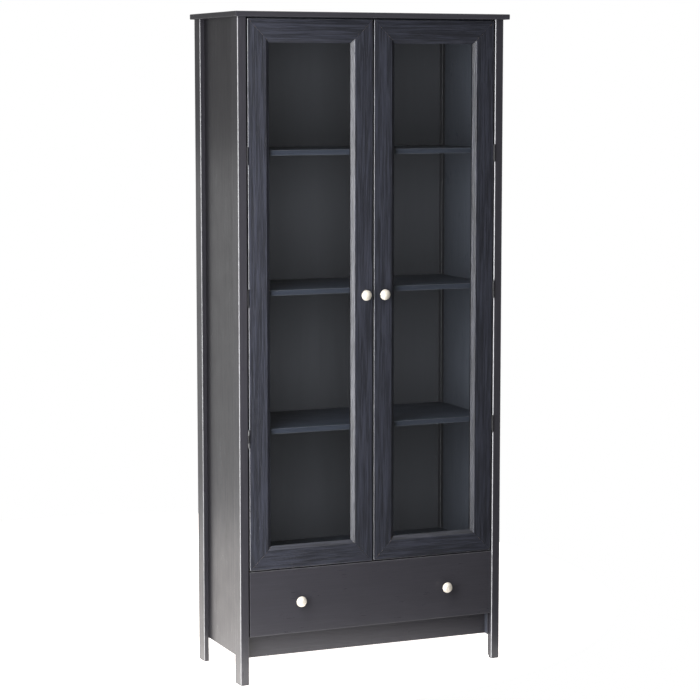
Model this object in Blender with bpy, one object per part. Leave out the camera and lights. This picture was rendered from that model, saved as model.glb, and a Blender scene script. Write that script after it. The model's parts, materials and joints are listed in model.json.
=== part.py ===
"""Tall glazed display cabinet: four corner legs, two glass doors over one wide drawer.

Metres, +Z up. The cabinet faces -Y and stands on z = 0, with the origin under the middle of its
bounding box. Depths are counted from the front plane of the legs, FRONT_Y, towards the back.
"""
import math

import bmesh
import bpy
from mathutils import Matrix, Vector

# ---- Carcass ----
HEIGHT = 1.900
TOP_WIDTH = 0.845
TOP_THICK = 0.015
TOP_FRONT_OVERHANG = 0.018
TOP_REAR_OVERHANG = 0.006
CARCASS_WIDTH = 0.822          # across the outer faces of the legs
CARCASS_DEPTH = 0.352          # from the front legs' front face to the rear legs' back face
BOARD = 0.015                  # shelves, rails and horizontal boards
GAP = 0.0003                   # between pieces that rest on each other

# ---- Legs ----
LEG_SIDE_WIDTH = 0.046         # the plank seen from the side
LEG_PLANK = 0.0145             # its thickness
FRONT_LEG_FACE = 0.026         # the front plank of the L-shaped front leg, seen from the front
FRONT_LEG_PLANK = 0.016
LEG_ARRIS = 0.0025

# ---- Inner boards ----
SIDE_PANEL = 0.016
BACK_THICK = 0.003
PLINTH_CLEAR = 0.0710          # floor to the underside of the plinth and side panels
DRAWER_BOTTOM = 0.1390
DRAWER_TOP = 0.3262
CUPBOARD_FLOOR = 0.337         # upper face of the board between the drawer and the cupboard
SHELF_PITCH = 0.3933
BOARD_SETBACK = 0.020          # front edge of the inner boards
PLINTH_SETBACK = 0.034
STRETCHER_DEPTH = 0.060

# ---- Doors ----
FRONT_THICK = 0.0159           # doors and drawer front
DOOR_SIDE_GAP = 0.004
DOOR_HALF_MEETING_GAP = 0.002
DOOR_BOTTOM = 0.3295
DOOR_TOP = 1.8805
FRAME_FACE = 0.055             # flat face of the frame moulding
FRAME_BEVEL = 0.011            # sloping inner edge, seen from the front
FRAME_BEVEL_DEPTH = 0.008
FRAME_LIP = 0.001
GLASS_GROOVE = 0.0036
GLASS_GROOVE_DEEP = 0.008
GLASS = 0.003
MITRE_SHIFT = 0.00022          # half of the fine joint line at each mitre

# ---- Drawer ----
DRAWER_SIDE_GAP = 0.003
DRAWER_BOX_SIDE_GAP = 0.013    # room for one runner
DRAWER_BOARD = 0.012
DRAWER_BOX_LOW = 0.166
DRAWER_BOX_HIGH = 0.286
DRAWER_BOX_LENGTH = 0.300
DRAWER_PANEL_Z = 0.172
DRAWER_PANEL = 0.0027
DRAWER_GROOVE_DEEP = 0.006
RUNNER_STEEL = 0.0012
RUNNER_LENGTH = 0.300
RUNNER_MIDDLE_Z = 0.2275
CABINET_RUNNER_HEIGHT = 0.045
CABINET_RUNNER_WIDTH = 0.0084
DRAWER_RUNNER_HEIGHT = 0.031
DRAWER_RUNNER_WIDTH = 0.0094

# ---- Knobs ----
KNOB_OUT = 0.028
KNOB_RADIUS = 0.0155
KNOB_RIM = 0.0165              # distance of the head's rim from the door
DOOR_KNOB_X = 0.029
DOOR_KNOB_Z = 1.103
DRAWER_KNOB_X = 0.231
KNOB_BORE_RADIUS = 0.0023
SCREW_RADIUS = 0.0019
SCREW_HOLE_RADIUS = 0.0025
TURNING_STEPS = 24

# ---- Hinges ----
HINGE_HEIGHT = 0.050
HINGE_MIDDLE_KNUCKLE = 0.022
HINGE_KNUCKLE_GAP = 0.0005
HINGE_RADIUS = 0.0022
HINGE_PIN_RADIUS = 0.0011
HINGE_BORE_RADIUS = 0.00145
HINGE_LEAF = 0.001
HINGE_AXIS_OUT = 0.0012        # the axis lies this far in front of the door face
HINGE_STEPS = 16
DOOR_MIDDLE_Z = (DOOR_BOTTOM + DOOR_TOP) / 2
HINGE_PITCH = 0.397

# ---- Derived places ----
FRONT_Y = (KNOB_OUT - CARCASS_DEPTH - TOP_REAR_OVERHANG) / 2
LEG_OUTER_X = CARCASS_WIDTH / 2
LEG_INNER_X = LEG_OUTER_X - FRONT_LEG_FACE
PANEL_OUTER_X = LEG_OUTER_X - LEG_PLANK - GAP
PANEL_INNER_X = PANEL_OUTER_X - SIDE_PANEL
BOARD_HALF_LENGTH = PANEL_INNER_X - GAP
TOP_UNDERSIDE = HEIGHT - TOP_THICK
CARCASS_TOP = TOP_UNDERSIDE - GAP
BACK_DEPTH = 0.3435
INNER_DEPTH = BACK_DEPTH - GAP
DOOR_OUTER_X = LEG_INNER_X - DOOR_SIDE_GAP
HINGE_AXIS_X = LEG_INNER_X - DOOR_SIDE_GAP / 2
DRAWER_MIDDLE_Z = (DRAWER_BOTTOM + DRAWER_TOP) / 2
HINGE_HEIGHTS = {
    "lower": DOOR_MIDDLE_Z - HINGE_PITCH,
    "middle": DOOR_MIDDLE_Z,
    "upper": DOOR_MIDDLE_Z + HINGE_PITCH,
}
SHELF_NAMES = ("lower_shelf", "middle_shelf", "upper_shelf")
SIDES = {"left": -1, "right": 1}


# ---- Materials ----
def material(name, colour, roughness, metallic=0.0, transmission=0.0):
    """A Principled material with one finish."""
    made = bpy.data.materials.new(name)
    made.use_nodes = True
    shader = made.node_tree.nodes["Principled BSDF"]
    shader.inputs["Base Color"].default_value = (*colour, 1.0)
    shader.inputs["Roughness"].default_value = roughness
    shader.inputs["Metallic"].default_value = metallic
    shader.inputs["Transmission Weight"].default_value = transmission
    return made


def make_materials():
    """Every finish of the cabinet, by the name of its slot."""
    return {
        "carcass_foil": material("carcass_foil", (0.034, 0.033, 0.036), 0.38),
        "door_foil": material("door_foil", (0.036, 0.041, 0.052), 0.45),
        "inner_foil": material("inner_foil", (0.040, 0.042, 0.050), 0.50),
        "hardboard": material("hardboard", (0.045, 0.046, 0.052), 0.60),
        "glass": material("glass", (0.92, 0.97, 0.96), 0.02, transmission=1.0),
        "satin_nickel": material("satin_nickel", (0.72, 0.69, 0.64), 0.25, metallic=1.0),
        "zinc_steel": material("zinc_steel", (0.62, 0.63, 0.64), 0.35, metallic=1.0),
        "black_plastic": material("black_plastic", (0.020, 0.020, 0.022), 0.45),
    }


# ---- Shapes ----
def plane_point(axis, u, v, w):
    """A point of an outline (u, v) at w along axis: the outline keeps the order X, Y, Z."""
    return {"x": (w, u, v), "y": (u, w, v), "z": (u, v, w)}[axis]


def arc_corner(before, corner, after, radius, steps=3):
    """Points that round one corner of an outline with an arc of that radius."""
    here = Vector(corner)
    back = (Vector(before) - here).normalized()
    ahead = (Vector(after) - here).normalized()
    half = back.angle(ahead) / 2
    centre = here + (back + ahead).normalized() * radius / math.sin(half)
    first = here + back * radius / math.tan(half) - centre
    last = here + ahead * radius / math.tan(half) - centre
    turn = first.angle(last)
    points = []
    for step in range(steps + 1):
        share = step / steps
        offset = first * math.sin((1 - share) * turn) + last * math.sin(share * turn)
        points.append(tuple(centre + offset / math.sin(turn)))
    return points


def rounded(corners):
    """An outline from (u, v, radius) corners, with an arc wherever the radius isn't 0."""
    points = []
    for index, (u, v, radius) in enumerate(corners):
        if radius == 0:
            points.append((u, v))
            continue
        before = corners[index - 1][:2]
        after = corners[(index + 1) % len(corners)][:2]
        points.extend(arc_corner(before, (u, v), after, radius))
    return points


def mesh_from(name, bm):
    """A finished mesh with its faces pointing out."""
    bmesh.ops.recalc_face_normals(bm, faces=bm.faces)
    mesh = bpy.data.meshes.new(name)
    bm.to_mesh(mesh)
    bm.free()
    return mesh


def place(name, mesh, finish, parent=None, at=(0, 0, 0)):
    """One named object, at a world place, under its parent where it has one."""
    made = bpy.data.objects.new(name, mesh)
    bpy.context.scene.collection.objects.link(made)
    made.location = at
    if not mesh.materials:
        mesh.materials.append(finish)
    if parent is not None:
        made.parent = parent
        made.matrix_parent_inverse = Matrix.Translation(-parent.location)
    return made


def axis_empty(name, at):
    """An empty on a joint's axis, which the moving pieces hang from."""
    made = bpy.data.objects.new(name, None)
    bpy.context.scene.collection.objects.link(made)
    made.location = at
    return made


def prism_mesh(name, outline, axis, low, high):
    """A closed solid: an outline extruded along one axis."""
    bm = bmesh.new()
    face = bm.faces.new([bm.verts.new(plane_point(axis, u, v, low)) for u, v in outline])
    grown = bmesh.ops.extrude_face_region(bm, geom=[face])
    moved = [item for item in grown["geom"] if isinstance(item, bmesh.types.BMVert)]
    bmesh.ops.translate(bm, verts=moved, vec=plane_point(axis, 0, 0, high - low))
    return mesh_from(name, bm)


def box_mesh(name, low, high):
    """A closed box between two corners."""
    outline = [(low[0], low[1]), (high[0], low[1]), (high[0], high[1]), (low[0], high[1])]
    return prism_mesh(name, outline, "z", low[2], high[2])


def board(name, across, depth, height, finish, parent=None, arris=0.0):
    """A flat board: its extent in X, its depths behind the front plane, and its heights."""
    low = (across[0], FRONT_Y + depth[0], height[0])
    high = (across[1], FRONT_Y + depth[1], height[1])
    made = place(name, box_mesh(name, low, high), finish, parent)
    if arris > 0:
        bevel = made.modifiers.new("arris", "BEVEL")
        bevel.width = arris
        bevel.segments = 2
    return made


def turned_mesh(name, profile, steps):
    """A solid turned about the Y axis, from (radius, y) points that start and end on it."""
    bm = bmesh.new()
    points = [bm.verts.new((radius, y, 0)) for radius, y in profile]
    edges = [bm.edges.new(pair) for pair in zip(points, points[1:])]
    bmesh.ops.spin(
        bm, geom=points + edges, cent=(0, 0, 0), axis=(0, 1, 0), angle=math.tau, steps=steps
    )
    bmesh.ops.remove_doubles(bm, verts=bm.verts, dist=0.00001)
    mesh = mesh_from(name, bm)
    mesh.shade_smooth()
    mesh.set_sharp_from_angle(angle=math.radians(35))
    return mesh


def rod_mesh(name, radius, axis, low, high, steps=HINGE_STEPS):
    """A round rod along one axis."""
    turns = [step * math.tau / steps for step in range(steps)]
    outline = [(radius * math.cos(turn), radius * math.sin(turn)) for turn in turns]
    return prism_mesh(name, outline, axis, low, high)


def helper(name, mesh, at=(0, 0, 0)):
    """A cutter or added shape, which isn't a piece of the cabinet."""
    made = bpy.data.objects.new(name, mesh)
    bpy.context.scene.collection.objects.link(made)
    made.location = at
    made.hide_render = True
    made.display_type = "WIRE"
    return made


def combine(target, other, operation):
    """Adds or cuts one helper with a Boolean modifier."""
    change = target.modifiers.new(other.name, "BOOLEAN")
    change.operation = operation
    change.object = other


def combined_mesh(name, start, steps):
    """The mesh that a list of (mesh, operation) steps makes of a first mesh."""
    body = helper(name + "_start", start)
    others = []
    for index, (mesh, operation) in enumerate(steps):
        other = helper(f"{name}_{index}", mesh)
        combine(body, other, operation)
        others.append(other)
    graph = bpy.context.evaluated_depsgraph_get()
    made = bpy.data.meshes.new_from_object(body.evaluated_get(graph))
    made.name = name
    for used in [body, *others]:
        bpy.data.objects.remove(used)
    return made


# ---- Carcass ----
def make_top_board(finish):
    """The top, which overhangs the legs all round."""
    board(
        "top_board",
        (-TOP_WIDTH / 2, TOP_WIDTH / 2),
        (-TOP_FRONT_OVERHANG, CARCASS_DEPTH + TOP_REAR_OVERHANG),
        (TOP_UNDERSIDE, HEIGHT),
        finish,
        arris=0.002,
    )


def make_legs(side, sign, finish):
    """The L-shaped front leg and the flat rear leg of one side."""
    outer = sign * LEG_OUTER_X
    inner = sign * (LEG_OUTER_X - LEG_PLANK)
    face_end = sign * LEG_INNER_X
    front = rounded([
        (outer, FRONT_Y, LEG_ARRIS),
        (face_end, FRONT_Y, LEG_ARRIS),
        (face_end, FRONT_Y + FRONT_LEG_PLANK, 0),
        (inner, FRONT_Y + FRONT_LEG_PLANK, 0),
        (inner, FRONT_Y + LEG_SIDE_WIDTH, 0),
        (outer, FRONT_Y + LEG_SIDE_WIDTH, LEG_ARRIS),
    ])
    back = FRONT_Y + CARCASS_DEPTH
    rear = rounded([
        (outer, back - LEG_SIDE_WIDTH, LEG_ARRIS),
        (inner, back - LEG_SIDE_WIDTH, 0),
        (inner, back, 0),
        (outer, back, LEG_ARRIS),
    ])
    for name, outline in ((f"front_{side}_leg", front), (f"rear_{side}_leg", rear)):
        place(name, prism_mesh(name, outline, "z", 0, CARCASS_TOP), finish)


def make_side_panel(side, sign, finish):
    """The panel that stands inside the two legs of one side."""
    across = sorted((sign * PANEL_INNER_X, sign * PANEL_OUTER_X))
    depth = (FRONT_LEG_PLANK + GAP, INNER_DEPTH)
    board(f"{side}_side_panel", across, depth, (PLINTH_CLEAR, CARCASS_TOP), finish)


def make_back(finish, strip_finish):
    """Two thin panels on the side panels' rear edges, and the strip that joins them."""
    joint = CUPBOARD_FLOOR + 2 * SHELF_PITCH - BOARD / 2
    web = 0.0011
    flange = 0.0085
    steel = 0.0011
    across = (-PANEL_OUTER_X + GAP, PANEL_OUTER_X - GAP)
    depth = (BACK_DEPTH, BACK_DEPTH + BACK_THICK)
    board("lower_back_panel", across, depth, (DRAWER_BOTTOM, joint - web - GAP), finish)
    board("upper_back_panel", across, depth, (joint + web + GAP, CARCASS_TOP), finish)
    front = FRONT_Y + BACK_DEPTH - GAP
    rear = FRONT_Y + BACK_DEPTH + BACK_THICK + GAP
    outline = [
        (front - steel, joint - flange),
        (front, joint - flange),
        (front, joint - web),
        (rear, joint - web),
        (rear, joint - flange),
        (rear + steel, joint - flange),
        (rear + steel, joint + flange),
        (rear, joint + flange),
        (rear, joint + web),
        (front, joint + web),
        (front, joint + flange),
        (front - steel, joint + flange),
    ]
    half = BOARD_HALF_LENGTH
    name = "back_joint_strip"
    place(name, prism_mesh(name, outline, "x", -half, half), strip_finish)


def make_inner_boards(finish, front_finish):
    """Cupboard floor, drawer base, plinth, top stretcher and the three shelves."""
    across = (-BOARD_HALF_LENGTH, BOARD_HALF_LENGTH)
    full = (BOARD_SETBACK, INNER_DEPTH)
    floor = (CUPBOARD_FLOOR - BOARD, CUPBOARD_FLOOR)
    board("bottom_board", across, full, floor, finish)
    board("base_board", across, full, (DRAWER_BOTTOM, DRAWER_BOTTOM + BOARD), finish)
    plinth = (PLINTH_CLEAR, DRAWER_BOTTOM - GAP)
    depth = (PLINTH_SETBACK, PLINTH_SETBACK + SIDE_PANEL)
    board("plinth_rail", across, depth, plinth, front_finish, arris=0.001)
    stretcher = (BOARD_SETBACK, BOARD_SETBACK + STRETCHER_DEPTH)
    board("top_stretcher", across, stretcher, (CARCASS_TOP - BOARD, CARCASS_TOP), finish)
    loose = BOARD_HALF_LENGTH - 0.0007
    for index, name in enumerate(SHELF_NAMES):
        top = CUPBOARD_FLOOR + (index + 1) * SHELF_PITCH
        depth = (BOARD_SETBACK, INNER_DEPTH - 0.0032)
        board(name, (-loose, loose), depth, (top - BOARD, top), finish)


# ---- Hinges ----
def hinge_leaf_meshes():
    """The fixed leaf with its pin, and the door leaf, for a left-hand hinge with its axis at 0."""
    half = HINGE_HEIGHT / 2
    middle = HINGE_MIDDLE_KNUCKLE / 2
    outer = middle + HINGE_KNUCKLE_GAP
    leaf_near = 0.0028
    leaf_far = HINGE_AXIS_OUT + 0.015
    inside = DOOR_SIDE_GAP / 2 - GAP
    fixed_x = (-inside, -inside + HINGE_LEAF)
    door_x = (inside - HINGE_LEAF, inside)
    strip = (0.0008, leaf_near + 0.0004)
    plate = box_mesh("plate", (fixed_x[0], leaf_near, -half), (fixed_x[1], leaf_far, half))
    steps = [(rod_mesh("pin", HINGE_PIN_RADIUS, "z", -half, half), "UNION")]
    for low, high in ((-half, -outer), (outer, half)):
        curl = box_mesh("curl", (fixed_x[0], strip[0], low), (fixed_x[1], strip[1], high))
        steps.append((rod_mesh("knuckle", HINGE_RADIUS, "z", low, high), "UNION"))
        steps.append((curl, "UNION"))
    fixed = combined_mesh("hinge_fixed_leaf", plate, steps)
    plate = box_mesh("plate", (door_x[0], leaf_near, -half), (door_x[1], leaf_far, half))
    curl = box_mesh("curl", (door_x[0], strip[0], -middle), (door_x[1], strip[1], middle))
    steps = [
        (rod_mesh("knuckle", HINGE_RADIUS, "z", -middle, middle), "UNION"),
        (curl, "UNION"),
        (rod_mesh("bore", HINGE_BORE_RADIUS, "z", -half, half), "DIFFERENCE"),
    ]
    return fixed, combined_mesh("hinge_door_leaf", plate, steps)


def make_hinges(side, sign, door, leaves, finish):
    """Three hinges of one door: a right-hand hinge is a left-hand one turned upside down."""
    fixed, moving = leaves
    turn = 0 if sign < 0 else math.pi
    for level, height in HINGE_HEIGHTS.items():
        at = (sign * HINGE_AXIS_X, FRONT_Y - HINGE_AXIS_OUT, height)
        on_leg = place(f"{side}_{level}_hinge_leg_leaf", fixed, finish, at=at)
        on_leg.rotation_euler.y = turn
        on_door = place(f"{side}_{level}_hinge_door_leaf", moving, finish, door, at)
        on_door.rotation_euler.y = turn


# ---- Knobs ----
def knob_mesh():
    """A turned knob: foot, waist, wide rim and shallow dome, with a blind bore for its screw."""
    dome_steps = 6
    rise = KNOB_OUT - KNOB_RIM - 0.0015
    profile = [
        (0, -0.010),
        (KNOB_BORE_RADIUS, -0.010),
        (KNOB_BORE_RADIUS, -GAP),
        (0.0075, -GAP),
        (0.0075, -0.0016),
        (0.0056, -0.0034),
        (0.0046, -0.0075),
        (0.0054, -0.0115),
        (0.0095, -0.0150),
        (KNOB_RADIUS - 0.0010, -KNOB_RIM),
        (KNOB_RADIUS, -KNOB_RIM - 0.0010),
    ]
    for step in range(dome_steps + 1):
        angle = step / dome_steps * math.pi / 2
        radius = 0 if step == dome_steps else (KNOB_RADIUS - 0.0004) * math.cos(angle)
        profile.append((radius, -KNOB_RIM - 0.0015 - rise * math.sin(angle)))
    return turned_mesh("knob", profile, TURNING_STEPS)


def knob_screw_mesh():
    """A pan-head screw that comes through the front from behind into the knob."""
    head = FRONT_THICK + GAP
    profile = [
        (0, -0.0085),
        (SCREW_RADIUS, -0.0085),
        (SCREW_RADIUS, head),
        (0.0042, head),
        (0.0042, head + 0.0012),
        (0.0030, head + 0.0022),
        (0, head + 0.0022),
    ]
    return turned_mesh("knob_screw", profile, 16)


def screw_hole(target, x, z):
    """A clearance hole for a knob screw, straight through a front piece."""
    hole = rod_mesh("screw_hole", SCREW_HOLE_RADIUS, "y", -0.004, FRONT_THICK + 0.004, 12)
    combine(target, helper(f"{target.name}_hole_{len(target.modifiers)}", hole, (x, FRONT_Y, z)),
            "DIFFERENCE")


# ---- Doors ----
def frame_profile():
    """The door moulding, as (distance from the door's edge, depth behind its face)."""
    inner = FRAME_FACE + FRAME_BEVEL
    groove = inner - GLASS_GROOVE_DEEP
    front = FRAME_BEVEL_DEPTH + FRAME_LIP
    return rounded([
        (0, 0, 0.002),
        (FRAME_FACE, 0, 0.0010),
        (inner, FRAME_BEVEL_DEPTH, 0),
        (inner, front, 0),
        (groove, front, 0),
        (groove, front + GLASS_GROOVE, 0),
        (inner, front + GLASS_GROOVE, 0),
        (inner, FRONT_THICK, 0),
        (0, FRONT_THICK, 0),
    ])


def mitred_member(name, edge, low, high, finish, door):
    """One side of a door frame between the corners low and high, mitred at both ends."""
    (x0, z0), (x1, z1) = low, high
    ring_a = []
    ring_b = []
    bm = bmesh.new()
    for inward, depth in frame_profile():
        reach = inward + MITRE_SHIFT
        ends = {
            "left": ((x0 + inward, z0 + reach), (x0 + inward, z1 - reach)),
            "right": ((x1 - inward, z0 + reach), (x1 - inward, z1 - reach)),
            "bottom": ((x0 + reach, z0 + inward), (x1 - reach, z0 + inward)),
            "top": ((x0 + reach, z1 - inward), (x1 - reach, z1 - inward)),
        }[edge]
        for ring, (x, z) in zip((ring_a, ring_b), ends):
            ring.append(bm.verts.new((x, FRONT_Y + depth, z)))
    bm.faces.new(ring_a)
    bm.faces.new(ring_b)
    for index in range(len(ring_a)):
        after = (index + 1) % len(ring_a)
        bm.faces.new((ring_a[index], ring_a[after], ring_b[after], ring_b[index]))
    return place(name, mesh_from(name, bm), finish, door)


def make_door(side, sign, finishes, knob, screw, leaves):
    """One glazed door with its frame, glass, knob, strike plate and hinges."""
    at = (sign * HINGE_AXIS_X, FRONT_Y - HINGE_AXIS_OUT, DOOR_MIDDLE_Z)
    door = axis_empty(f"{side}_door_axis", at)
    xs = sorted((sign * DOOR_HALF_MEETING_GAP, sign * DOOR_OUTER_X))
    low = (xs[0], DOOR_BOTTOM)
    high = (xs[1], DOOR_TOP)
    meeting_edge = "right" if sign < 0 else "left"
    hinge_edge = side
    names = {
        hinge_edge: f"{side}_door_hinge_stile",
        meeting_edge: f"{side}_door_meeting_stile",
        "top": f"{side}_door_top_rail",
        "bottom": f"{side}_door_bottom_rail",
    }
    for edge, name in names.items():
        member = mitred_member(name, edge, low, high, finishes["door_foil"], door)
        if edge == meeting_edge:
            screw_hole(member, sign * DOOR_KNOB_X, DOOR_KNOB_Z)
    margin = FRAME_FACE + FRAME_BEVEL - GLASS_GROOVE_DEEP + GAP * 2
    glass_front = FRAME_BEVEL_DEPTH + FRAME_LIP + GAP
    board(
        f"{side}_door_glass",
        (xs[0] + margin, xs[1] - margin),
        (glass_front, glass_front + GLASS),
        (DOOR_BOTTOM + margin, DOOR_TOP - margin),
        finishes["glass"],
        door,
    )
    at = (sign * DOOR_KNOB_X, FRONT_Y, DOOR_KNOB_Z)
    place(f"{side}_door_knob", knob, finishes["satin_nickel"], door, at)
    place(f"{side}_door_knob_screw", screw, finishes["zinc_steel"], door, at)
    plate_depth = FRONT_THICK + GAP
    board(
        f"{side}_door_strike_plate",
        sorted((sign * 0.010, sign * 0.030)),
        (plate_depth, plate_depth + 0.001),
        (1.855, 1.868),
        finishes["zinc_steel"],
        door,
    )
    make_hinges(side, sign, door, leaves, finishes["zinc_steel"])


def make_catch(finish):
    """The twin magnetic catch that both doors close against, under the top stretcher."""
    front = FRONT_THICK + 0.0018
    high = CARCASS_TOP - BOARD - GAP
    board("twin_door_catch", (-0.034, 0.034), (front, front + 0.020), (high - 0.013, high), finish)


# ---- Drawer ----
def channel_outline(web_x, flange_x, low, high):
    """A U-shaped steel section, seen along Y: its web at web_x and its flange ends at flange_x."""
    inward = math.copysign(RUNNER_STEEL, flange_x - web_x)
    return [
        (web_x, low),
        (flange_x, low),
        (flange_x, low + RUNNER_STEEL),
        (web_x + inward, low + RUNNER_STEEL),
        (web_x + inward, high - RUNNER_STEEL),
        (flange_x, high - RUNNER_STEEL),
        (flange_x, high),
        (web_x, high),
    ]


def make_runner(side, sign, drawer, finish):
    """The cabinet's and the drawer's halves of one side's runner, one inside the other."""
    outer = PANEL_INNER_X - GAP
    inner = PANEL_INNER_X - DRAWER_BOX_SIDE_GAP + GAP
    halves = (
        ("cabinet", outer, outer - CABINET_RUNNER_WIDTH, CABINET_RUNNER_HEIGHT, 0.020, None),
        ("drawer", inner, inner + DRAWER_RUNNER_WIDTH, DRAWER_RUNNER_HEIGHT, 0.017, drawer),
    )
    for owner, web, edge, height, start, parent in halves:
        low = RUNNER_MIDDLE_Z - height / 2
        high = RUNNER_MIDDLE_Z + height / 2
        outline = channel_outline(sign * web, sign * edge, low, high)
        name = f"{side}_{owner}_runner"
        front = FRONT_Y + start
        mesh = prism_mesh(name, outline, "y", front, front + RUNNER_LENGTH)
        place(name, mesh, finish, parent)


def make_drawer_side(side, sign, drawer, finish):
    """A drawer side with a groove that holds the drawer's bottom panel."""
    outer = sign * (PANEL_INNER_X - DRAWER_BOX_SIDE_GAP)
    inner = sign * (PANEL_INNER_X - DRAWER_BOX_SIDE_GAP - DRAWER_BOARD)
    groove = inner + sign * DRAWER_GROOVE_DEEP
    groove_low = DRAWER_PANEL_Z - GAP
    groove_high = DRAWER_PANEL_Z + DRAWER_PANEL + GAP
    outline = [
        (outer, DRAWER_BOX_LOW),
        (inner, DRAWER_BOX_LOW),
        (inner, groove_low),
        (groove, groove_low),
        (groove, groove_high),
        (inner, groove_high),
        (inner, DRAWER_BOX_HIGH),
        (outer, DRAWER_BOX_HIGH),
    ]
    name = f"drawer_{side}_side"
    start = FRONT_Y + FRONT_THICK + GAP
    mesh = prism_mesh(name, outline, "y", start, start + DRAWER_BOX_LENGTH)
    place(name, mesh, finish, drawer)


def make_drawer(finishes, knob, screw):
    """The drawer: one wide front with two knobs, two sides, a back and a thin bottom."""
    drawer = axis_empty("drawer_axis", (0, FRONT_Y, DRAWER_MIDDLE_Z))
    half = LEG_INNER_X - DRAWER_SIDE_GAP
    front = board(
        "drawer_front",
        (-half, half),
        (0, FRONT_THICK),
        (DRAWER_BOTTOM + GAP, DRAWER_TOP),
        finishes["carcass_foil"],
        drawer,
    )
    for side, sign in SIDES.items():
        x = sign * DRAWER_KNOB_X
        screw_hole(front, x, DRAWER_MIDDLE_Z)
        at = (x, FRONT_Y, DRAWER_MIDDLE_Z)
        place(f"drawer_{side}_knob", knob, finishes["satin_nickel"], drawer, at)
        place(f"drawer_{side}_knob_screw", screw, finishes["zinc_steel"], drawer, at)
        make_drawer_side(side, sign, drawer, finishes["inner_foil"])
        make_runner(side, sign, drawer, finishes["zinc_steel"])
    between = PANEL_INNER_X - DRAWER_BOX_SIDE_GAP - DRAWER_BOARD
    start = FRONT_THICK + GAP
    end = start + DRAWER_BOX_LENGTH
    panel_top = DRAWER_PANEL_Z + DRAWER_PANEL
    board(
        "drawer_back",
        (-between + GAP, between - GAP),
        (end - DRAWER_BOARD, end),
        (panel_top + GAP, DRAWER_BOX_HIGH),
        finishes["inner_foil"],
        drawer,
    )
    reach = between + DRAWER_GROOVE_DEEP - GAP
    board(
        "drawer_bottom",
        (-reach, reach),
        (start, end),
        (DRAWER_PANEL_Z, panel_top),
        finishes["hardboard"],
        drawer,
    )


def main():
    """Builds the whole cabinet in an empty scene."""
    for old in list(bpy.data.objects):
        bpy.data.objects.remove(old)
    finishes = make_materials()
    make_top_board(finishes["carcass_foil"])
    for side, sign in SIDES.items():
        make_legs(side, sign, finishes["carcass_foil"])
        make_side_panel(side, sign, finishes["carcass_foil"])
    make_back(finishes["hardboard"], finishes["black_plastic"])
    make_inner_boards(finishes["inner_foil"], finishes["carcass_foil"])
    knob = knob_mesh()
    screw = knob_screw_mesh()
    leaves = hinge_leaf_meshes()
    for side, sign in SIDES.items():
        make_door(side, sign, finishes, knob, screw, leaves)
    make_catch(finishes["black_plastic"])
    make_drawer(finishes, knob, screw)


main()
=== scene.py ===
"""Looks of the tall glazed display cabinet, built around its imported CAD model."""
import json
import math

import bmesh
import bpy
from mathutils import Matrix, Vector


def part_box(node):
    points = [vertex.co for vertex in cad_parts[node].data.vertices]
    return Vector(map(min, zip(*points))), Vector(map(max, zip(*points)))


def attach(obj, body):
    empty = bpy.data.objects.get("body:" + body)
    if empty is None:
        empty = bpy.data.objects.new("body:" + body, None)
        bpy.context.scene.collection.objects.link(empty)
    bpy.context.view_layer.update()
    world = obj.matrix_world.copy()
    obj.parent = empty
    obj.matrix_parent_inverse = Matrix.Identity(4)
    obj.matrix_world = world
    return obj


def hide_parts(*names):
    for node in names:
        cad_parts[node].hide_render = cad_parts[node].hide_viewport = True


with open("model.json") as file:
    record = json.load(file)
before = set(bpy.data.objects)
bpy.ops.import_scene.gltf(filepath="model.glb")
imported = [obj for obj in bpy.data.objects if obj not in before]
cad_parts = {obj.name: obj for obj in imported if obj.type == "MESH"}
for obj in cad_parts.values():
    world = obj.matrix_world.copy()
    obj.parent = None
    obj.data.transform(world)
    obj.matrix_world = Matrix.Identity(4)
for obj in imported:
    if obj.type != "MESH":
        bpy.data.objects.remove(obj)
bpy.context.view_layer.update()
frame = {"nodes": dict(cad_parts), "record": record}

SIDES = {"left": -1, "right": 1}
HINGE_LEVELS = ("lower", "middle", "upper")
SHELVES = ("lower_shelf", "middle_shelf", "upper_shelf")
FIXED_BOARDS = ("base_board", "bottom_board")
KNOBS = ("left_door_knob", "right_door_knob", "drawer_left_knob", "drawer_right_knob")
FRONT_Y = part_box("drawer_front")[0].y
AXES = {"x": (1, 0, 0), "y": (0, 1, 0), "z": (0, 0, 1)}

# Linear colours
CARCASS = (0.0182, 0.0176, 0.0212)
DOOR = (0.0120, 0.0128, 0.0178)
INNER = (0.0165, 0.0190, 0.0275)
# Painted light: a lighter colour for the side walls' inner faces, where more light falls inside the
# cabinet
INNER_WALL_LIGHT = (0.0310, 0.0335, 0.0430)
# The next two edge colours are partly wear and partly painted highlight on the arrises; the legs'
# one is brighter, mostly painted highlight
EDGE_WEAR_AND_HIGHLIGHT = (0.120, 0.120, 0.128)
LEG_EDGE_HIGHLIGHT_AND_WEAR = (0.260, 0.260, 0.270)
# Painted shade for faces seen down narrow gaps
GAP_SHADE = (0.003, 0.003, 0.004)
RAW_BOARD = (0.160, 0.120, 0.085)
HARDBOARD_FACE = (0.0170, 0.0171, 0.0200)
HARDBOARD_BACK = (0.150, 0.098, 0.060)
HARDBOARD_STAIN = (0.090, 0.055, 0.032)
NICKEL = (0.640, 0.605, 0.540)
# Painted shade for the knobs' necks, under their heads
NECK_SHADE = (0.070, 0.068, 0.064)
ZINC = (0.600, 0.600, 0.590)
# Hinge steel in two shades: dark as painted shade in the door gaps, lighter as painted light on one
# leaf
SHADED_HINGE_STEEL = (0.060, 0.060, 0.064)
LIT_HINGE_STEEL = (0.190, 0.190, 0.195)
PLASTIC = (0.016, 0.016, 0.018)

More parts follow.
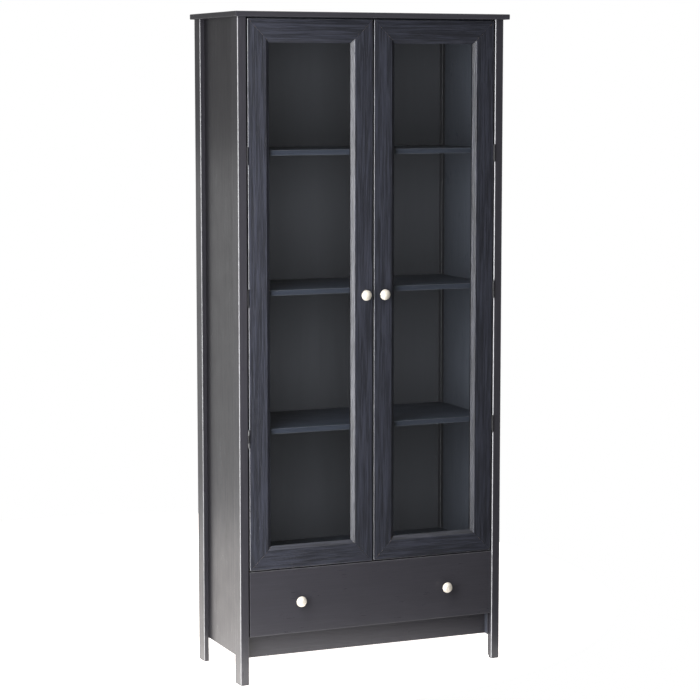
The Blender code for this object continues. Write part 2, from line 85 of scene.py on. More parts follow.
# What the foils of one kind share. Grain and pores say how strong these are.
CARCASS_FOIL = {"colour": CARCASS, "roughness": 0.28, "grain": 0.10, "pores": 0.08}
DOOR_FOIL = {"colour": DOOR, "roughness": 0.36, "grain": 0.50, "pores": 0.35}
INNER_FOIL = {"colour": INNER, "roughness": 0.42, "grain": 0.14, "pores": 0.10}

# Width of the rounding on each kind of CAD node
SOFT_EDGES = {
    "carcass_foil": 0.0007, "inner_foil": 0.0005, "door_foil": 0.0007,
    "hardboard": 0.0003, "glass": 0.0004, "black_plastic": 0.0005,
}
# How far a leg's box is stretched past the edges that get no wear and no painted highlight
UNMARKED_STRETCH = 0.05

FLOOR_RADIUS = 1.5
FLOOR_CENTRE = (-0.25, 1.0, -0.0004)

# The lens that fits the photograph
CAMERA_PLACE = (-2.642, -6.093, 1.700)
CAMERA_YAW = math.radians(-23.43)
CAMERA_PITCH = math.radians(-6.65)
FOCAL_LENGTH = 117.26
SENSOR_WIDTH = 36.0


# ---- Node graphs ----
class Graph:
    """Short forms for building a node tree. An argument can be a socket or a plain value."""

    def __init__(self, tree):
        self.tree = tree

    def feed(self, socket, value):
        if value is None:
            return
        if isinstance(value, bpy.types.NodeSocket):
            self.tree.links.new(value, socket)
        else:
            socket.default_value = value

    def node(self, kind, inputs=None, **settings):
        made = self.tree.nodes.new(kind)
        for key, value in settings.items():
            setattr(made, key, value)
        for key, value in (inputs or {}).items():
            self.feed(made.inputs[key], value)
        return made

    def math(self, operation, a, b=None, c=None):
        made = self.node("ShaderNodeMath", operation=operation)
        for index, value in enumerate((a, b, c)):
            self.feed(made.inputs[index], value)
        return made.outputs[0]

    def vector(self, operation, a, b=None):
        made = self.node("ShaderNodeVectorMath", operation=operation)
        self.feed(made.inputs[0], a)
        self.feed(made.inputs[1], b)
        return made.outputs["Value" if operation in ("DOT_PRODUCT", "LENGTH") else "Vector"]

    def parts(self, vector):
        """The x, y and z of a vector."""
        made = self.node("ShaderNodeSeparateXYZ", {"Vector": vector})
        return [made.outputs[key] for key in "XYZ"]

    def grey(self, value):
        """A colour with one value in its three channels."""
        inputs = {0: value, 1: value, 2: value}
        return self.node("ShaderNodeCombineColor", inputs).outputs[0]

    def ramp(self, value, low, high, to_low=0.0, to_high=1.0):
        inputs = {
            "Value": value, "From Min": low, "From Max": high, "To Min": to_low, "To Max": to_high
        }
        made = self.node("ShaderNodeMapRange", inputs, interpolation_type="SMOOTHSTEP")
        return made.outputs["Result"]

    def noise(self, vector, scale, detail=3.0, roughness=0.55, distortion=0.0):
        inputs = {
            "Vector": vector, "Scale": scale, "Detail": detail, "Roughness": roughness,
            "Distortion": distortion,
        }
        return self.node("ShaderNodeTexNoise", inputs).outputs["Fac"]

    def streaks(self, point, axis, across, along, **settings):
        """A noise drawn out along one axis. It has one scale across that axis and one along it."""
        scale = [across, across, across]
        scale["xyz".index(axis)] = along
        return self.noise(self.vector("MULTIPLY", point, tuple(scale)), 1.0, **settings)

    def mix(self, factor, a, b, blend="MIX"):
        made = self.node("ShaderNodeMix", data_type="RGBA", blend_type=blend)
        self.feed(made.inputs["Factor"], factor)
        self.feed(made.inputs[6], rgba(a))
        self.feed(made.inputs[7], rgba(b))
        return made.outputs[2]

    def bump(self, height, strength, distance):
        inputs = {"Height": height, "Strength": strength, "Distance": distance}
        return self.node("ShaderNodeBump", inputs).outputs["Normal"]


def rgba(colour):
    """A colour with its alpha, or a socket as it is."""
    return colour if isinstance(colour, bpy.types.NodeSocket) else (*colour, 1.0)


def scaled(colour, factor):
    """A lighter or darker shade of a colour."""
    return tuple(factor * part for part in colour)


def new_material(name, **plain):
    """A material with one Principled shader: its graph, and a function that feeds the shader."""
    made = bpy.data.materials.new(name)
    made.use_nodes = True
    graph = Graph(made.node_tree)
    shader = made.node_tree.nodes["Principled BSDF"]

    def feed(**values):
        for key, value in values.items():
            graph.feed(shader.inputs[key.replace("_", " ")], value)

    feed(**plain)
    return made, graph, feed


def object_points(graph):
    """Object-space position and normal."""
    coordinates = graph.node("ShaderNodeTexCoord")
    return coordinates.outputs["Object"], coordinates.outputs["Normal"]


def box_corners(graph):
    """The lowest and highest corner of the piece's box, as note_box keeps them."""
    return [
        graph.node("ShaderNodeAttribute", attribute_type="OBJECT", attribute_name=name)
        .outputs["Vector"]
        for name in ("box_low", "box_high")
    ]


def edge_distance(graph, point):
    """Distance from a point on a boxy piece to the nearest edge of that piece's box."""
    low, high = box_corners(graph)
    nearest = graph.vector(
        "MINIMUM", graph.vector("SUBTRACT", point, low), graph.vector("SUBTRACT", high, point)
    )
    a, b, c = graph.parts(nearest)
    smaller = graph.math("MINIMUM", a, b)
    larger = graph.math("MAXIMUM", a, b)
    return graph.math("MAXIMUM", smaller, graph.math("MINIMUM", larger, c))


def raw_ends(graph, normal, axis, colour, point):
    """Chips of raw board where a piece is cut across its length, and the given colour elsewhere."""
    along = graph.math("ABSOLUTE", graph.vector("DOT_PRODUCT", normal, AXES[axis]))
    is_end = graph.ramp(along, 0.66, 0.70)
    chips = graph.node("ShaderNodeTexVoronoi", {"Vector": point, "Scale": 420.0})
    tone = graph.node("ShaderNodeSeparateColor", {"Color": chips.outputs["Color"]})
    raw = graph.mix(tone.outputs[0], scaled(RAW_BOARD, 0.55), scaled(RAW_BOARD, 1.35))
    return graph.mix(is_end, colour, raw)


def foil(name, axis, colour, roughness, grain, pores, inner_wall_light=None, ends=True, gap_shade=False,
         wear_and_highlight=0.3, wear_highlight_colour=EDGE_WEAR_AND_HIGHLIGHT, wear_highlight_width=0.0014):
    """Wood-grain foil on board, with its grain along one axis.

    A lighter colour on the face that looks into the cabinet is painted light, for the light that
    falls on the inner walls.
    With ends, the cut ends are raw board. A switch paints the faces to the left and right dark, as
    painted shade in a narrow gap. The edges get another colour over a width, partly wear and partly
    painted highlight, and a factor says how much.
    """
    made, graph, feed = new_material(name)
    point, normal = object_points(graph)
    drift = graph.streaks(point, axis, 16.0, 1.1, detail=2.0)
    figure = graph.ramp(graph.math("SINE", graph.math("MULTIPLY", drift, 60.0)), -1.0, 1.0)
    lines = graph.streaks(point, axis, 330.0, 8.0, roughness=0.6, distortion=0.15)
    fine = graph.streaks(point, axis, 900.0, 20.0, detail=2.0)
    vessels = graph.ramp(graph.streaks(point, axis, 1500.0, 62.0, detail=1.0), 0.60, 0.70)
    relief = graph.math("MULTIPLY", graph.ramp(lines, 0.36, 0.64), 0.55)
    relief = graph.math("MULTIPLY_ADD", figure, 0.12, relief)
    relief = graph.math("MULTIPLY_ADD", graph.ramp(fine, 0.35, 0.65), 0.33, relief)
    relief = graph.math("SUBTRACT", relief, graph.math("MULTIPLY", vessels, pores))

    if inner_wall_light:
        # The wall's inner side faces the cabinet's middle, which is at x = 0
        inward = graph.vector("DOT_PRODUCT", normal, graph.vector("MULTIPLY", point, (-1, 0, 0)))
        # Painted light: faces turned to the cabinet's middle take the lighter colour
        colour = graph.mix(graph.ramp(inward, 0.15, 0.25), colour, inner_wall_light)
    contrast = graph.grey(graph.ramp(relief, 0.15, 0.95, 1 - grain, 1 + grain))
    tone = graph.mix(1.0, colour, contrast, "MULTIPLY")
    clouds = graph.grey(graph.math("MULTIPLY_ADD", graph.noise(point, 3.1, 2.0), 0.24, 0.88))
    tone = graph.mix(1.0, tone, clouds, "MULTIPLY")
    # Lighter colour along the box's edges, varied by noise: partly wear, partly painted highlight
    # on the arrises
    edge = graph.ramp(edge_distance(graph, point), wear_highlight_width, 0.4 * wear_highlight_width)
    rub_and_sheen = graph.ramp(graph.noise(point, 60.0, 4.0, 0.7), 0.3, 0.8, 0.55 * wear_and_highlight, wear_and_highlight)
    tone = graph.mix(graph.math("MULTIPLY", edge, rub_and_sheen), tone, wear_highlight_colour)
    # Painted shade: faces turned to the left or right go dark, as in the gaps between parts
    if gap_shade:
        sideways = graph.math("ABSOLUTE", graph.vector("DOT_PRODUCT", normal, AXES["x"]))
        tone = graph.mix(graph.ramp(sideways, 0.90, 0.97), tone, GAP_SHADE)
    if ends:
        tone = raw_ends(graph, normal, axis, tone, point)

    touch = graph.noise(point, 17.0, 4.0, 0.6)
    rough = graph.math("MULTIPLY_ADD", touch, 0.14, roughness - 0.07)
    rough = graph.math("MULTIPLY_ADD", graph.math("SUBTRACT", 1.0, relief), 0.10, rough)
    feed(Base_Color=tone, Roughness=rough, Normal=graph.bump(relief, 0.6, 0.0009 * grain))
    return made


def hardboard():
    """Thin fibre board: a dark print in front and above, raw brown fibres behind and below."""
    made, graph, feed = new_material("hardboard")
    point, normal = object_points(graph)
    _, normal_y, normal_z = graph.parts(normal)
    away = graph.math("SUBTRACT", normal_y, normal_z)
    is_raw = graph.ramp(away, 0.4, 0.6)
    fibres = graph.noise(point, 900.0, 5.0, 0.7, 1.2)
    clouds = graph.noise(point, 22.0, 3.0)
    lines = graph.streaks(point, "z", 260.0, 6.0)
    face = graph.mix(lines, scaled(HARDBOARD_FACE, 0.8), scaled(HARDBOARD_FACE, 1.2))
    back = graph.mix(fibres, scaled(HARDBOARD_BACK, 0.6), scaled(HARDBOARD_BACK, 1.5))
    back = graph.mix(graph.ramp(clouds, 0.3, 0.8, 0.0, 0.35), back, HARDBOARD_STAIN)
    relief = graph.math("MULTIPLY", fibres, graph.ramp(away, 0.4, 0.6, 0.25, 1.0))
    feed(
        Base_Color=graph.mix(is_raw, face, back),
        Roughness=graph.ramp(away, 0.4, 0.6, 0.46, 0.82),
        Normal=graph.bump(relief, 0.35, 0.0002),
    )
    return made


def metal(name, colour, roughness, axis, brushed=0.3, bump=0.15):
    """Plated metal with fine brushing along one axis, or a knob's turning marks for axis None."""
    made, graph, feed = new_material(name, Metallic=1.0)
    point, _ = object_points(graph)
    if axis is None:
        low, high = box_corners(graph)
        middle = graph.vector("MULTIPLY", graph.vector("ADD", low, high), (0.5, 0.5, 0.5))
        offset = graph.vector("MULTIPLY", graph.vector("SUBTRACT", point, middle), (1, 0, 1))
        radius = graph.vector("LENGTH", offset)
        _, depth, _ = graph.parts(point)
        spot = graph.node("ShaderNodeCombineXYZ", {"X": radius, "Y": depth}).outputs[0]
        marks = graph.noise(spot, 3800.0, 2.0)
    else:
        marks = graph.streaks(point, axis, 3000.0, 90.0, detail=2.0)
    stains = graph.noise(point, 160.0, 4.0, 0.65)
    tone = graph.mix(graph.ramp(stains, 0.35, 0.75), colour, scaled(colour, 0.80))
    tone = graph.mix(graph.math("MULTIPLY", marks, brushed), tone, (1.0, 0.98, 0.95), "SOFT_LIGHT")
    if axis is None:
        # A knob's neck is painted darker than its face, as painted shade under the head
        _, front, _ = graph.parts(low)
        behind = graph.math("SUBTRACT", depth, front)
        tone = graph.mix(graph.ramp(behind, 0.0125, 0.0150), tone, NECK_SHADE)
    rough = graph.math(
        "ADD",
        graph.math("MULTIPLY_ADD", marks, 0.12, roughness - 0.06),
        graph.ramp(stains, 0.4, 0.8, 0.0, 0.10),
    )
    feed(Base_Color=tone, Roughness=rough, Normal=graph.bump(marks, bump, 0.00002))
    return made


def plastic():
    """Moulded plastic with a fine spark-eroded texture."""
    made, graph, feed = new_material("black_plastic")
    point, _ = object_points(graph)
    pits = graph.noise(point, 2400.0, 3.0, 0.6)
    clouds = graph.noise(point, 90.0, 2.0)
    feed(
        Base_Color=graph.mix(clouds, PLASTIC, scaled(PLASTIC, 1.5)),
        Roughness=graph.math("MULTIPLY_ADD", pits, 0.2, 0.34),
        Normal=graph.bump(pits, 0.35, 0.00006),
    )
    return made


def pane_glass():
    """Clear float glass with a faint green tint and a few wiping marks. Lamps shine through it."""
    made, graph, feed = new_material(
        "glass", Transmission_Weight=1.0, IOR=1.5, Base_Color=(0.965, 0.985, 0.975, 1.0)
    )
    point, _ = object_points(graph)
    wiped = graph.streaks(point, "z", 14.0, 3.0, detail=4.0, roughness=0.6, distortion=1.5)
    feed(Roughness=graph.ramp(wiped, 0.45, 0.85, 0.0, 0.035))
    shader = made.node_tree.nodes["Principled BSDF"]
    clear = graph.node("ShaderNodeBsdfTransparent", {"Color": (0.94, 0.955, 0.95, 1.0)})
    path = graph.node("ShaderNodeLightPath")
    lamp = graph.math("MAXIMUM", path.outputs["Is Shadow Ray"], path.outputs["Is Diffuse Ray"])
    inputs = {0: lamp, 1: shader.outputs[0], 2: clear.outputs[0]}
    through = graph.node("ShaderNodeMixShader", inputs)
    graph.feed(made.node_tree.nodes["Material Output"].inputs["Surface"], through.outputs[0])
    return made


def make_materials():
    """Every finish, by name."""
    made = {
        "glass": pane_glass(),
        "hardboard": hardboard(),
        "plastic": plastic(),
        "nickel": metal("satin_nickel", NICKEL, 0.72, None, brushed=0.25, bump=0.10),
        "zinc_y": metal("zinc_steel_y", ZINC, 0.36, "y"),
        "zinc_z": metal("zinc_steel_z", ZINC, 0.36, "z"),
        "shaded_hinge": metal("shaded_hinge_steel", SHADED_HINGE_STEEL, 0.42, "z"),
        "lit_hinge": metal("lit_hinge_steel", LIT_HINGE_STEEL, 0.50, "z"),
        # The legs' edges get the bright edge colour: mostly painted highlight on the arrises, with
        # some wear
        "carcass_leg": foil("carcass_foil_leg", "z", **CARCASS_FOIL, wear_and_highlight=1.4, wear_highlight_colour=LEG_EDGE_HIGHLIGHT_AND_WEAR,
                            wear_highlight_width=0.0026),
        # The beads' edges get the edge colour at full strength: a painted highlight line in the
        # inner rear corners
        "carcass_bead": foil("carcass_foil_bead", "z", **CARCASS_FOIL, wear_and_highlight=1.0),
        "carcass_faced": foil("carcass_foil_faced", "x", **CARCASS_FOIL, ends=False),
        # The drawer front's ends get painted shade, as in the gaps beside it
        "drawer_faced": foil("drawer_foil_faced", "x", **CARCASS_FOIL, ends=False, wear_and_highlight=0.5,
                             gap_shade=True),
        "carcass_inner_lit": foil("carcass_foil_inner_lit", "z", **CARCASS_FOIL, inner_wall_light=INNER_WALL_LIGHT),
    }
    for axis in "xz":
        made[f"carcass_{axis}"] = foil(f"carcass_foil_{axis}", axis, **CARCASS_FOIL)
        # The doors' edges get the edge colour at full strength: partly wear, partly painted
        # highlight
        made[f"door_{axis}"] = foil(f"door_foil_{axis}", axis, **DOOR_FOIL, wear_and_highlight=1.0,
                                    gap_shade=True)
    for axis in "xy":
        made[f"inner_{axis}"] = foil(f"inner_foil_{axis}", axis, **INNER_FOIL)
    return made


def finish_for(node, slot):
    """The name of the material that a CAD node wears."""
    if slot == "carcass_foil":
        if node == "top_board":
            return "carcass_faced"
        if node == "drawer_front":
            return "drawer_faced"
        if node.endswith("side_panel"):
            return "carcass_inner_lit"
        if node.endswith("_leg"):
            return "carcass_leg"
        return "carcass_x" if node == "plinth_rail" else "carcass_z"
    if slot == "door_foil":
        return "door_x" if node.endswith("_rail") else "door_z"
    if slot == "inner_foil":
        return "inner_y" if node.endswith("_side") else "inner_x"
    # Hinge leaves are painted dark as shade in the door gaps; one leaf gets a lighter copy as
    # painted light
    if node.endswith("_leaf"):
        return "lit_hinge" if node == "left_lower_hinge_leg_leaf" else "shaded_hinge"
    if slot == "zinc_steel":
        return "zinc_y" if node.endswith(("runner", "screw")) else "zinc_z"
    return {"satin_nickel": "nickel", "black_plastic": "plastic"}.get(slot, slot)


def note_box(piece, low, high):
    """Keeps a piece's box on it, where its material reads it."""
    piece["box_low"] = tuple(low)
    piece["box_high"] = tuple(high)


def soften(piece, width):
    """Rounds a piece's sharp edges."""
    bevel = piece.modifiers.new("soft_edges", "BEVEL")
    bevel.width = width
    bevel.segments = 2
    bevel.limit_method = "ANGLE"
    bevel.angle_limit = math.radians(40)
    bevel.harden_normals = True


def dress(materials):
    """Gives each CAD node its material and softens its sharp edges."""
    slots = {row["node"]: row["material_slot"] for row in frame["record"]["subparts"]}
    for node, piece in frame["nodes"].items():
        slot = slots[node]
        piece.data.materials.clear()
        piece.data.materials.append(materials[finish_for(node, slot)])
        low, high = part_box(node)
        if node.endswith("_leg"):
            low.z -= UNMARKED_STRETCH
            high.z += UNMARKED_STRETCH
        if node in ("rear_left_leg", "front_left_leg"):
            high.x += UNMARKED_STRETCH
        if node == "rear_right_leg":
            low.x -= UNMARKED_STRETCH
        note_box(piece, low, high)
        if slot in SOFT_EDGES:
            soften(piece, SOFT_EDGES[slot])


# ---- Added pieces ----
def lathe(profile, steps):
    """A mesh turned about the Y axis, from (radius, y) points that start and end on it."""
    (_, start), *rings, (_, end) = profile
    points = [(0, start, 0), (0, end, 0)]
    for radius, y in rings:
        for step in range(steps):
            angle = step / steps * math.tau
            points.append((radius * math.cos(angle), y, -radius * math.sin(angle)))
    first = 2
    last = first + (len(rings) - 1) * steps
    faces = []
    for step in range(steps):
        after = (step + 1) % steps
        faces += [(0, first + step, first + after), (1, last + after, last + step)]
        for ring in range(first, last, steps):
            faces.append((ring + step, ring + steps + step, ring + steps + after, ring + after))
    mesh = bpy.data.meshes.new("turned")
    mesh.from_pydata(points, [], faces)
    mesh.shade_smooth()
    mesh.set_sharp_from_angle(angle=math.radians(34))
    return mesh


def box_mesh(low, high):
    """A box between two corners."""
    bm = bmesh.new()
    bmesh.ops.create_cube(bm, size=1)
    size = Vector(high) - Vector(low)
    bmesh.ops.scale(bm, vec=size, verts=bm.verts)
    bmesh.ops.translate(bm, vec=(Vector(high) + Vector(low)) / 2, verts=bm.verts)
    mesh = bpy.data.meshes.new("box")
    bm.to_mesh(mesh)
    bm.free()
    return mesh


def cut(mesh, cutters):
    """A mesh with other meshes cut out of it."""
    body = bpy.data.objects.new("cut_body", mesh)
    bpy.context.scene.collection.objects.link(body)
    others = []
    for cutter in cutters:
        other = bpy.data.objects.new("cutter", cutter)
        bpy.context.scene.collection.objects.link(other)
        change = body.modifiers.new("cut", "BOOLEAN")
        change.operation = "DIFFERENCE"
        change.object = other
        others.append(other)
    graph = bpy.context.evaluated_depsgraph_get()
    made = bpy.data.meshes.new_from_object(body.evaluated_get(graph))
    for used in [body, *others]:
        bpy.data.objects.remove(used)
    return made


def gather(name, placed, body, finish):
    """One piece made of copies of small meshes, each at its own matrix, riding on a body."""
    bm = bmesh.new()
    for mesh, matrix in placed:
        copy = mesh.copy()
        copy.transform(matrix)
        bm.from_mesh(copy)
        bpy.data.meshes.remove(copy)
    mesh = bpy.data.meshes.new(name)
    bm.to_mesh(mesh)
    bm.free()
    mesh.materials.clear()
    mesh.materials.append(finish)
    mesh.polygons.foreach_set("material_index", [0] * len(mesh.polygons))
    piece = bpy.data.objects.new(name, mesh)
    bpy.context.scene.collection.objects.link(piece)
    corners = [vertex.co for vertex in mesh.vertices]
    low = [min(corner[axis] for corner in corners) for axis in range(3)]
    high = [max(corner[axis] for corner in corners) for axis in range(3)]
    note_box(piece, low, high)
    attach(piece, body)
    return piece


def facing(place, direction):
    """The matrix that turns a shape made along -Y to face a direction, at a place."""
    turn = Vector((0, -1, 0)).rotation_difference(Vector(direction)).to_matrix().to_4x4()
    return Matrix.Translation(place) @ turn


def head_mesh(radius, height, sunk, cross=True):
    """A screw's head, its seat at y = 0 and its top towards -Y, with a cross recess or without."""
    steps = 4
    rim = 0.2
    profile = [(0, sunk), (0.55 * radius, sunk), (radius, 0), (radius, -rim * height)]
    for step in range(1, steps + 1):
        angle = step / steps * math.pi / 2
        across = 0 if step == steps else radius * math.cos(angle)
        profile.append((across, -height * (rim + (1 - rim) * math.sin(angle))))
    head = lathe(profile, 20)
    if not cross:
        return head
    half = 0.085 * radius
    reach = 0.62 * radius
    low, high = -height - 0.001, sunk * 0.6 - height * rim
    # The second arm is a little smaller, so that no two faces lie in one plane
    shrink = 0.99
    arms = [
        box_mesh((-reach, low, -half), (reach, high, half)),
        box_mesh((-half * shrink, low, -reach * shrink), (half * shrink, high, reach * shrink)),
    ]
    return cut(head, arms)


def make_knobs(materials):
    """Finely turned knobs in place of the CAD ones."""
    low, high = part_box(KNOBS[0])
    out = FRONT_Y - low.y
    radius = (high.x - low.x) / 2 - 0.00005
    rim = out - 0.0115
    seat = 0.0003
    bore_radius, bore_depth = 0.0022, 0.0098
    profile = [(0, -bore_depth), (bore_radius, -bore_depth), (bore_radius, -seat)]
    profile += [(0.0070, -seat), (0.0074, -seat - 0.0003), (0.0075, -seat - 0.0007)]
    waist = ((0.0074, 0.0015), (0.0067, 0.0026), (0.0057, 0.0037), (0.0050, 0.0052),
             (0.0046, 0.0070), (0.0046, 0.0088), (0.0050, 0.0106), (0.0058, 0.0120),
             (0.0074, 0.0134), (0.0098, 0.0147), (0.0124, 0.0157))
    profile += [(across, -depth) for across, depth in waist]
    profile += [(radius - 0.0007, -rim + 0.0001), (radius - 0.0001, -rim - 0.0004),
                (radius, -rim - 0.0011)]
    steps = 14
    shoulder = 0.0016
    dome = out - rim - shoulder
    for step in range(steps + 1):
        angle = step / steps * math.pi / 2
        across = 0 if step == steps else (radius - 0.0002) * math.cos(angle)
        profile.append((across, -rim - shoulder - dome * math.sin(angle)))
    mesh = lathe(profile, 64)
    for node in KNOBS:
        low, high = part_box(node)
        centre = Vector(((low.x + high.x) / 2, FRONT_Y, (low.z + high.z) / 2))
        body = "drawer" if node.startswith("drawer") else node[: -len("_knob")]
        knob = gather(
            f"{node}_turned", [(mesh, Matrix.Translation(centre))], body,
            materials["nickel"],
        )
        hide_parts(node)


def make_shelf_pins(materials):
    """Four steel pins under each loose shelf, stuck in the side panels."""
    shank, collar, tip = 0.0025, 0.0038, 0.0021
    front_inset, rear_inset = 0.040, 0.045
    profile = [(0, 0.0002), (shank, 0.0002), (shank, -0.0004), (collar, -0.0004),
               (collar, -0.0014), (shank, -0.0014), (shank, -0.0084), (tip, -0.0090),
               (0, -0.0090)]
    pin = lathe(profile, 20)
    for shelf in SHELVES:
        low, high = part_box(shelf)
        placed = []
        for side, sign in SIDES.items():
            panel_low, panel_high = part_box(f"{side}_side_panel")
            wall = panel_low.x if sign > 0 else panel_high.x
            for y in (low.y + front_inset, high.y - rear_inset):
                place = Vector((wall, y, low.z - 0.0026))
                placed.append((pin, facing(place, (-sign, 0, 0))))
        gather(f"{shelf}_pins", placed, "carcass", materials["zinc_z"])


def make_back_beads(materials):
    """Small beads in the inner rear corners, in lengths that end at the shelves."""
    width, depth = 0.009, 0.019
    off_wall, end_gap = 0.0002, 0.0008
    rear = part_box("lower_back_panel")[0].y - off_wall
    levels = [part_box("bottom_board")[1].z]
    for shelf in SHELVES:
        levels += [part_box(shelf)[0].z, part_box(shelf)[1].z]
    levels.append(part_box("top_board")[0].z)
    for side, sign in SIDES.items():
        low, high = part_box(f"{side}_side_panel")
        wall = (low.x if sign > 0 else high.x) - sign * off_wall
        placed = []
        for bottom, top in zip(levels[::2], levels[1::2]):
            left, right = sorted((wall, wall - sign * width))
            bead = box_mesh((left, rear - depth, bottom + end_gap), (right, rear, top - end_gap))
            placed.append((bead, Matrix.Identity(4)))
        beads = gather(f"{side}_back_beads", placed, "carcass",
                       materials["carcass_bead"])
        soften(beads, 0.0012)


def make_hinge_screws(materials):
    """Three countersunk screws in each hinge leaf."""
    leaf, spacing = 0.001, 0.0175
    inset, stagger = 0.0052, 0.0012
    head = head_mesh(0.0027, 0.00028, 0.0006)
    for side, sign in SIDES.items():
        for owner, body in (("leg", "carcass"), ("door", f"{side}_door")):
            placed = []
            for level in HINGE_LEVELS:
                low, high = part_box(f"{side}_{level}_hinge_{owner}_leaf")
                inward = -sign if owner == "leg" else sign
                face = (low.x if inward > 0 else high.x) + inward * leaf
                for rise in (-spacing, 0.0, spacing):
                    y = high.y - inset - (stagger if rise == 0 else 0.0)
                    place = Vector((face, y, (low.z + high.z) / 2 + rise))
                    placed.append((head, facing(place, (inward, 0, 0))))
            gather(f"{side}_{owner}_hinge_screws", placed, body,
                   materials["shaded_hinge"])


def make_runner_screws(materials):
    """Pan-head screws inside the runners' channels."""
    steel = 0.0012
    head = head_mesh(0.0034, 0.0010, 0.0003)
    for side, sign in SIDES.items():
        for owner, body, inward in (("cabinet", "carcass", True), ("drawer", "drawer", False)):
            low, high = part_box(f"{side}_{owner}_runner")
            outer = high.x if sign > 0 else low.x
            inner = low.x if sign > 0 else high.x
            face = outer - sign * steel if inward else inner + sign * steel
            direction = (-sign if inward else sign, 0, 0)
            placed = []
            for share in (0.10, 0.45, 0.90):
                y = low.y + share * (high.y - low.y)
                place = Vector((face, y, (low.z + high.z) / 2))
                placed.append((head, facing(place, direction)))
            gather(f"{side}_{owner}_runner_screws", placed, body,
                   materials["zinc_y"])


def make_back_nails(materials):
    """Flat nail heads along the back panels' sides and along the two fixed boards."""
    per_side, margin, spacing = 7, 0.020, 0.15
    head = head_mesh(0.0021, 0.0005, 0.0003, cross=False)
    side_low, side_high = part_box("right_side_panel")
    side = (side_low.x + side_high.x) / 2
    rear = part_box("lower_back_panel")[1].y
    places = []
    for panel in ("lower_back_panel", "upper_back_panel"):
        low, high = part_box(panel)
        for index in range(per_side):
            z = low.z + margin + index / (per_side - 1) * (high.z - low.z - 2 * margin)
            places += [(-side, z), (side, z)]
    for board in FIXED_BOARDS:
        low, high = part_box(board)
        places += [(step * spacing, (low.z + high.z) / 2) for step in (-2, -1, 0, 1, 2)]
    placed = [(head, facing(Vector((x, rear, z)), (0, 1, 0))) for x, z in places]
    gather("back_panel_nails", placed, "carcass", materials["zinc_z"])


def make_cam_locks(materials):
    """Round cam fittings in the undersides of the two fixed boards."""
    side_inset, front_inset, rear_inset = 0.034, 0.050, 0.045
    cam = head_mesh(0.0072, 0.0004, 0.0012)
    placed = []
    for board in FIXED_BOARDS:
        low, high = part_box(board)
        for x in (low.x + side_inset, high.x - side_inset):
            for y in (low.y + front_inset, high.y - rear_inset):
                placed.append((cam, facing(Vector((x, y, low.z)), (0, 0, -1))))
    gather("cam_locks", placed, "carcass", materials["zinc_z"])


def make_catch_parts(materials):
    """The catch's steel pole faces and its two screws, and the strike plates' screws."""
    low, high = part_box("twin_door_catch")
    half_length, thickness = 0.008, 0.0024
    magnet_x, screw_x, plate_inset = 0.020, 0.005, 0.0035
    pole = box_mesh((-half_length, -0.0002, 0), (half_length, 0.0015, thickness))
    poles = []
    for sign in (-1, 1):
        for z in (low.z + 0.0030, high.z - 0.0054):
            poles.append((pole, Matrix.Translation((sign * magnet_x, low.y, z))))
    gather("catch_pole_faces", poles, "carcass", materials["zinc_z"])
    head = head_mesh(0.0024, 0.0009, 0.0003)
    placed = [
        (head, facing(Vector((x, (low.y + high.y) / 2, low.z)), (0, 0, -1)))
        for x in (-screw_x, screw_x)
    ]
    gather("catch_screws", placed, "carcass", materials["zinc_z"])
    flat = head_mesh(0.0020, 0.00025, 0.0004)
    for side in SIDES:
        low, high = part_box(f"{side}_door_strike_plate")
        placed = [
            (flat, facing(Vector((x, high.y, (low.z + high.z) / 2)), (0, 1, 0)))
            for x in (low.x + plate_inset, high.x - plate_inset)
        ]
        gather(f"{side}_strike_plate_screws", placed, f"{side}_door",
               materials["zinc_z"])


# ---- Studio ----
def seen_directly(graph):
    """1 for a ray from the eye, straight or through a pane, and 0 for one that lights things."""
    path = graph.node("ShaderNodeLightPath")
    unreflected = graph.math("LESS_THAN", path.outputs["Glossy Depth"], 0.5)
    through_glass = graph.math("MULTIPLY", path.outputs["Is Transmission Ray"], unreflected)
    return graph.math("MAXIMUM", path.outputs["Is Camera Ray"], through_glass)


def make_floor():
    """A plain pale floor that glows as a light table does, and ends in a white backdrop."""
    fade_start, rim_glow, glow_strength = 1.05, 0.2, 1.10
    bm = bmesh.new()
    bmesh.ops.create_circle(bm, cap_ends=True, segments=96, radius=FLOOR_RADIUS)
    mesh = bpy.data.meshes.new("studio_floor")
    bm.to_mesh(mesh)
    bm.free()
    made, graph, feed = new_material("studio_floor", Roughness=0.85)
    point, _ = object_points(graph)
    tone = graph.mix(graph.noise(point, 2.0, 3.0), (0.88, 0.86, 0.84), (0.91, 0.89, 0.87))
    # In reflections the glow fades towards the rim, so that no glass shows a hard arc
    fade = graph.ramp(graph.vector("LENGTH", point), FLOOR_RADIUS, fade_start, rim_glow, 1.0)
    glow = graph.math("MULTIPLY", graph.math("MAXIMUM", seen_directly(graph), fade), glow_strength)
    feed(Base_Color=tone, Emission_Color=(1.0, 0.935, 0.905, 1.0), Emission_Strength=glow)
    mesh.materials.append(made)
    floor = bpy.data.objects.new("studio_floor", mesh)
    floor.location = FLOOR_CENTRE
    bpy.context.scene.collection.objects.link(floor)


def make_world():
    """A white backdrop. Its light on the cabinet is weaker, and weakest from the front right."""
    front_right = (0.50, -0.866, 0.0)
    light, dimming = 0.32, 0.26
    world = bpy.data.worlds.new("studio")
    bpy.context.scene.world = world
    world.use_nodes = True
    graph = Graph(world.node_tree)
    background = world.node_tree.nodes["Background"]
    direction = graph.node("ShaderNodeTexCoord").outputs["Generated"]
    dim = graph.ramp(graph.vector("DOT_PRODUCT", direction, front_right), 0.1, 0.9)
    level = graph.math("MULTIPLY_ADD", dim, -dimming, light)
    strength = graph.math("MAXIMUM", seen_directly(graph), level)
    graph.feed(background.inputs["Color"], (1.0, 1.0, 1.0, 1.0))
    graph.feed(background.inputs["Strength"], strength)


